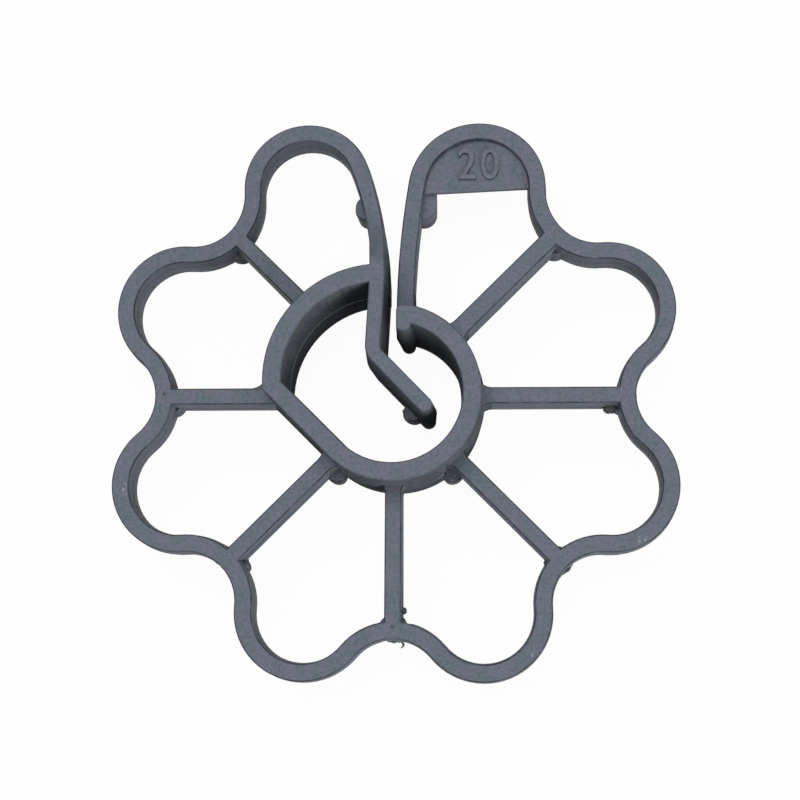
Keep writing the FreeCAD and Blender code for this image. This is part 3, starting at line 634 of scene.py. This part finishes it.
def fattenWalls(piece, deepVerts):
    # draft towards the parting plane, and the parting line itself
    def wallHalf(vertex):
        if onRamp(vertex.co):
            return rampHalf(vertex.co.y, True)
        return wheel["hubHalf"] if vertex.index in deepVerts else wheel["rimHalf"]

    def draftStep(vertex):
        off = abs(vertex.co.z - wheel["parting"])
        upright = all(abs(f.normal.z) < facing["sloping"] for f in vertex.link_faces)
        if off < moulding["draftReach"] and upright:
            proud = moulding["lineProud"] if off < moulding["lineHalf"] else 0.0
            return vertex.normal * (moulding["draft"] * wallHalf(vertex) + proud)
        return None

    moveVerts(piece, draftStep)


def makeMoulding():
    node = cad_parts["wheel_spacer"]
    piece = bpy.data.objects.new("spacer_moulding", node.data.copy())
    scene.collection.objects.link(piece)
    openEdit(piece, "VERT")
    bpy.ops.mesh.customdata_custom_splitnormals_clear()
    bpy.ops.mesh.select_all(action="SELECT")
    bpy.ops.mesh.remove_doubles(threshold=moulding["mergeGap"])
    bpy.ops.mesh.dissolve_limited(angle_limit=moulding["flatWithin"])
    closeEdit()
    easeRamp(piece)
    moveVerts(piece, lipStep)
    moveVerts(piece, settleStep)
    openEdit(piece, "EDGE")
    pick(piece, "edges", isRoot)
    bpy.ops.mesh.bevel(offset=moulding["rootRound"], segments=moulding["rootSteps"], affect="EDGES")
    pick(piece, "edges", isRim)
    bpy.ops.mesh.bevel(offset=moulding["edgeRound"], segments=moulding["edgeSteps"], affect="EDGES",
                       clamp_overlap=False)
    closeEdit()

    def isDeep(face):
        heights = [piece.data.vertices[i].co.z for i in face.vertices]
        return stands(face) and max(heights) - min(heights) > moulding["deepFrom"]

    # painted shade on the rounded edges and on the deep walls
    tagFaces(piece, "edgeShade", edgeShadeShare)
    tagFaces(piece, "deepWall", isDeep)
    openEdit(piece, "VERT")
    pick(piece, "verts", isGateTop)
    bpy.ops.transform.vertex_random(offset=moulding["gateRag"], uniform=1.0, normal=0.0,
                                    seed=moulding["gateSeed"])
    for cut in moulding["lineCuts"]:
        bpy.ops.mesh.select_all(action="SELECT")
        bpy.ops.mesh.bisect(plane_co=(0, 0, wheel["parting"] + cut), plane_no=(0, 0, 1))
    closeEdit()
    deepTag = piece.data.attributes["deepWall"].data
    deepVerts = {i for f in piece.data.polygons if isTagged(deepTag, f) for i in f.vertices}
    # painted shade of the deep walls, lighter towards their front
    for face in piece.data.polygons:
        deepTag[face.index].value *= deepShare(face)
    fattenWalls(piece, deepVerts)
    edgeShadeTag = piece.data.attributes["edgeShade"].data
    # painted wall shade and roughness, and a painted highlight along the parting line
    tagFaces(piece, "wallShadeRough", lambda f: 0.0 if isTagged(edgeShadeTag, f) else wallShadeShare(f))
    tagFaces(piece, "rubbedAndPaintedLight",
             lambda f: moulding["lineHighlight"] * (onPartingLine(f) and not isTagged(edgeShadeTag, f)))
    finishPiece(piece, greyPlastic, moulding["smoothTo"])
    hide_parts("wheel_spacer")
    print("moulding", len(piece.data.vertices), "points", len(piece.data.polygons), "faces")


makeMoulding()

# the cover in millimetres, raised on the plate
digits = {
    "low": (5.58 * mm, 19.45 * mm),      # corners of the two digits together
    "high": (9.20 * mm, 22.34 * mm),
    "plate": 6.30 * mm,
    "sink": 0.03 * mm,
    "rise": 0.25 * mm,
    "apart": 1.14,
    "thin": -0.004,                      # this and the next two are shares of the letter size
    "round": 0.012,
    "thick": 0.05,
    "roundSteps": 1,
    "curveSteps": 6,
    "topRub": 0.35,
    "smoothTo": math.radians(40),
}


def makeDigits():
    text = startPiece("cover_digits", bpy.ops.object.text_add, location=(0, 0, 0)).data
    text.body = "20"
    text.size = 1.0
    text.space_character = digits["apart"]
    text.offset = digits["thin"]
    text.extrude = digits["thick"]
    text.bevel_depth = digits["round"]
    text.bevel_resolution = digits["roundSteps"]
    text.resolution_u = digits["curveSteps"]
    bpy.ops.object.convert(target="MESH")
    piece = bpy.context.object
    points = [v.co for v in piece.data.vertices]
    low = [min(p[i] for p in points) for i in range(3)]
    high = [max(p[i] for p in points) for i in range(3)]
    lowTo = (*digits["low"], digits["plate"] - digits["sink"])
    highTo = (*digits["high"], digits["plate"] + digits["rise"])
    stretch = [(highTo[i] - lowTo[i]) / (high[i] - low[i]) for i in range(3)]
    openEdit(piece, "VERT")
    bpy.ops.mesh.select_all(action="SELECT")
    bpy.ops.transform.translate(value=[-v for v in low])
    bpy.ops.transform.resize(value=stretch, center_override=(0, 0, 0))
    bpy.ops.transform.translate(value=lowTo)
    bpy.ops.mesh.remove_doubles(threshold=hair)
    bpy.ops.mesh.normals_make_consistent(inside=False)
    closeEdit()
    # painted shade on the sides of the digits, paler rubbed tops
    tagFaces(piece, "edgeShade", lambda f: not facesUp(f))
    tagFaces(piece, "rubbedAndPaintedLight", lambda f: digits["topRub"] * facesUp(f))
    finishPiece(piece, greyPlastic, digits["smoothTo"])
    print("digits", len(piece.data.polygons), "faces")


makeDigits()

# torn gates and flash left on the moulding
gates = {
    "lumps": (
        # name, place and size in mm, turn in degrees
        ("gate_upper_left", (-13.62, 13.18, 4.75), (0.62, 0.50, 0.70), 35),
        ("gate_lower_left", (-12.84, -14.62, 4.60), (0.36, 0.52, 0.66), -20),
        ("gate_upper_right", (13.35, 13.35, 4.70), (0.62, 0.55, 0.62), 10),
        ("gate_right", (18.72, -0.95, 4.85), (0.55, 0.42, 0.60), 0),
        ("burr_lower_spoke", (0.86, -18.45, 4.95), (0.26, 0.30, 0.30), 15),
    ),
    "detail": 3,
    "rag": 0.16,
    "ragEven": 0.6,
    "ragOut": 0.4,
    "seed": 11,
    "tail": ((0.62, -21.02), (0.86, -21.24), (0.82, -21.44), (0.64, -21.60)),    # x and y in mm
    "tailRoot": 0.2 * mm,
    "tailWidth": 0.26 * mm,
    "tailTaper": 0.82,
    "tailThick": 0.14 * mm,
    "tailHeight": 4.9 * mm,
    "smoothTo": math.radians(25),
}


def makeLumps():
    for count, (name, place, size, turn) in enumerate(gates["lumps"]):
        piece = startPiece(name, bpy.ops.mesh.primitive_ico_sphere_add, subdivisions=gates["detail"],
                           radius=1.0)
        openEdit(piece, "VERT")
        bpy.ops.mesh.select_all(action="SELECT")
        bpy.ops.transform.vertex_random(offset=gates["rag"], uniform=gates["ragEven"], normal=gates["ragOut"],
                                        seed=gates["seed"] + count)
        placeSelected([v * mm for v in size], turn, [v * mm for v in place])
        closeEdit()
        finishPiece(piece, tornPlastic, gates["smoothTo"])


def makeTail():
    # a strip of flash hanging out of the lowest valley
    piece = startPiece("flash_tail", bpy.ops.mesh.primitive_plane_add, size=1.0)
    path = [Vector((x * mm, y * mm, gates["tailHeight"])) for x, y in gates["tail"]]
    root = gates["tailRoot"]
    openEdit(piece, "VERT")
    bpy.ops.mesh.select_all(action="SELECT")
    bpy.ops.transform.resize(value=(gates["tailWidth"], root, 1), center_override=(0, 0, 0))
    bpy.ops.transform.translate(value=path[0] + Vector((0, root / 2, 0)))
    bpy.ops.mesh.select_mode(type="EDGE")
    pick(piece, "edges", lambda e: edgeMiddle(e).y < path[0].y + root / 4)
    taper = (gates["tailTaper"], gates["tailTaper"], 1)
    for before, after in zip(path, path[1:]):
        bpy.ops.mesh.extrude_region_move(TRANSFORM_OT_translate={"value": after - before})
        bpy.ops.transform.resize(value=taper, center_override=after)
    closeEdit()
    wall = piece.modifiers.new("wall", "SOLIDIFY")
    wall.thickness = gates["tailThick"]
    wall.offset = 0.0
    only(piece)
    bpy.ops.object.modifier_apply(modifier=wall.name)
    finishPiece(piece, tornPlastic, gates["smoothTo"])


makeLumps()
makeTail()
print("gates and flash made")

# torn studs of the ejectors, each a wide base with a narrower broken top
studs = {
    "places": (
        # name, x and y in mm, turn in degrees
        ("stud_toe", 1.58, -1.22, 20),
        ("stud_hub_left", -5.12, -6.50, 40),
        ("stud_hub_right", 5.12, -6.50, -40),
    ),
    "radius": 0.82 * mm,
    "sides": 22,
    "long": 1.18,                 # longer one way than the other
    "low": 3.20 * mm,
    "step": 4.55 * mm,
    "top": 5.05 * mm,
    "inset": 0.17 * mm,
    "round": 0.05 * mm,
    "roundSteps": 2,
    "rag": 0.07 * mm,
    "ragEven": 0.7,
    "ragOut": 0.3,
    "seed": 31,
    # share of painted light on the studs
    "rubbedAndPaintedLight": 0.5,
    "smoothTo": math.radians(30),
}


def makeStuds():
    rise = (0, 0, studs["top"] - studs["step"])
    middle = (studs["low"] + studs["step"]) / 2
    for count, (name, x, y, turn) in enumerate(studs["places"]):
        piece = startPiece(name, bpy.ops.mesh.primitive_cylinder_add, vertices=studs["sides"],
                           radius=studs["radius"], depth=studs["step"] - studs["low"], location=(0, 0, 0))
        openEdit(piece, "FACE")
        pick(piece, "faces", facesUp)
        bpy.ops.mesh.inset(thickness=studs["inset"])
        bpy.ops.mesh.extrude_region_move(TRANSFORM_OT_translate={"value": rise})
        bpy.ops.mesh.inset(thickness=studs["inset"])
        bpy.ops.mesh.select_mode(type="EDGE")
        pick(piece, "edges", isSharp)
        bpy.ops.mesh.bevel(offset=studs["round"], segments=studs["roundSteps"], affect="EDGES")
        bpy.ops.mesh.select_mode(type="VERT")
        pick(piece, "verts", lambda v: v.co.z > 0)
        bpy.ops.transform.vertex_random(offset=studs["rag"], uniform=studs["ragEven"], normal=studs["ragOut"],
                                        seed=studs["seed"] + count)
        bpy.ops.mesh.select_all(action="SELECT")
        placeSelected((studs["long"], 1, 1), turn, (x * mm, y * mm, middle))
        bpy.ops.mesh.normals_make_consistent(inside=False)
        closeEdit()
        # painted light: the studs sit in shade inside the hub and are painted paler
        tagFaces(piece, "rubbedAndPaintedLight", lambda f: studs["rubbedAndPaintedLight"])
        finishPiece(piece, tornPlastic, studs["smoothTo"])


makeStuds()
print("studs made")

# the hollow fillet above the level spoke on the left, where it meets the hub
rootFillet = {
    "corner": (-11.057 * mm, 0.71 * mm),
    "radius": 1.5 * mm,
    "sides": 96,
    "overlap": 0.25 * mm,
    "low": 3.28 * mm,
    "high": 6.72 * mm,
    "round": 0.10 * mm,
    "roundSteps": 2,
    "smoothTo": math.radians(20),
}


def isFilletRim(edge):
    low, high = rootFillet["low"] + hair, rootFillet["high"] - hair
    ends = all(v.co.z > high or v.co.z < low for v in edge.verts)
    return ends and not isUprightEdge(edge) and isSharp(edge)


def makeRootFillet():
    radius, over = rootFillet["radius"], rootFillet["overlap"]
    height = rootFillet["high"] - rootFillet["low"]
    x, y = rootFillet["corner"]
    z = (rootFillet["low"] + rootFillet["high"]) / 2
    size = radius + over
    tool = startPiece("hollow_tool", bpy.ops.mesh.primitive_cylinder_add, vertices=rootFillet["sides"],
                      radius=radius, depth=2 * height, location=(x - radius, y + radius, z))
    piece = startPiece("root_fillet", bpy.ops.mesh.primitive_cube_add, size=1.0,
                       location=(x + over - size / 2, y - over + size / 2, z))
    piece.scale = (size, size, height)
    hollow = piece.modifiers.new("hollow", "BOOLEAN")
    hollow.object = tool
    hollow.operation = "DIFFERENCE"
    hollow.solver = "EXACT"
    only(piece)
    bpy.ops.object.modifier_apply(modifier=hollow.name)
    bpy.data.objects.remove(tool)
    bpy.ops.object.transform_apply(location=True, rotation=True, scale=True)
    openEdit(piece, "EDGE")
    pick(piece, "edges", isFilletRim)
    bpy.ops.mesh.bevel(offset=rootFillet["round"], segments=rootFillet["roundSteps"], affect="EDGES")
    closeEdit()
    # painted edge shade, and the spokes' painted wall shade and roughness
    tagFaces(piece, "edgeShade", isRounded)
    tagFaces(piece, "wallShadeRough", lambda f: moulding["spokeShadeRough"] * stands(f))
    finishPiece(piece, greyPlastic, rootFillet["smoothTo"])


makeRootFillet()
print("root fillet made")

# a pale floor, a pale world and two soft lamps
studio = {
    "floor": (0.10, 0.10, 0.10),        # as it lights the part
    "seenFloor": (0.95, 0.95, 0.95),    # as the camera sees it
    "whiten": 0.96,                     # the rest keeps the part's shadow
    "floorRough": 0.9,
    "floorSize": 3.0,
    "floorDrop": 0.02 * mm,
    "worldLevel": 0.24,
    "lamps": (
        # name, size in m, power in W, place in m
        ("key", 0.50, 2.2, (-0.10, 0.22, 0.60)),
        ("fill", 0.40, 2.6, (0.36, -0.46, 0.20)),
    ),
}


def cameraRays(tree):
    path = tree.nodes.new("ShaderNodeLightPath")
    mirrored = larger(tree, path.outputs["Is Glossy Ray"], path.outputs["Is Transmission Ray"])
    return larger(tree, path.outputs["Is Camera Ray"], mirrored)


def makeFloor():
    floor = startPiece("floor", bpy.ops.mesh.primitive_plane_add, size=studio["floorSize"],
                       location=(0, 0, -studio["floorDrop"]))
    material = bpy.data.materials.new("paleFloor")
    material.use_nodes = True
    tree = material.node_tree
    shader = tree.nodes["Principled BSDF"]
    shader.inputs["Roughness"].default_value = studio["floorRough"]
    shader.inputs["Specular IOR Level"].default_value = 0.0
    seen = mixed(tree, cameraRays(tree), studio["floor"], studio["seenFloor"])
    feed(tree, seen, shader.inputs["Base Color"])
    white = tree.nodes.new("ShaderNodeEmission")
    mix = tree.nodes.new("ShaderNodeMixShader")
    feed(tree, times(tree, cameraRays(tree), studio["whiten"]), mix.inputs[0])
    feed(tree, shader.outputs[0], mix.inputs[1])
    feed(tree, white.outputs[0], mix.inputs[2])
    feed(tree, mix.outputs[0], tree.nodes["Material Output"].inputs["Surface"])
    floor.data.materials.append(material)


def makeLight():
    world = bpy.data.worlds.new("studio")
    scene.world = world
    world.use_nodes = True
    tree = world.node_tree
    back = tree.nodes["Background"]
    back.inputs["Color"].default_value = (1, 1, 1, 1)
    level = span(tree, cameraRays(tree), 0.0, 1.0, studio["worldLevel"], 1.0)
    feed(tree, level, back.inputs["Strength"])
    for name, size, power, place in studio["lamps"]:
        light = bpy.data.lights.new(name, "AREA")
        light.size = size
        light.energy = power
        lamp = bpy.data.objects.new(name, light)
        scene.collection.objects.link(lamp)
        lamp.location = place
        lamp.rotation_euler = (-lamp.location).to_track_quat("-Z", "Y").to_euler()


makeFloor()
makeLight()
print("studio lit")
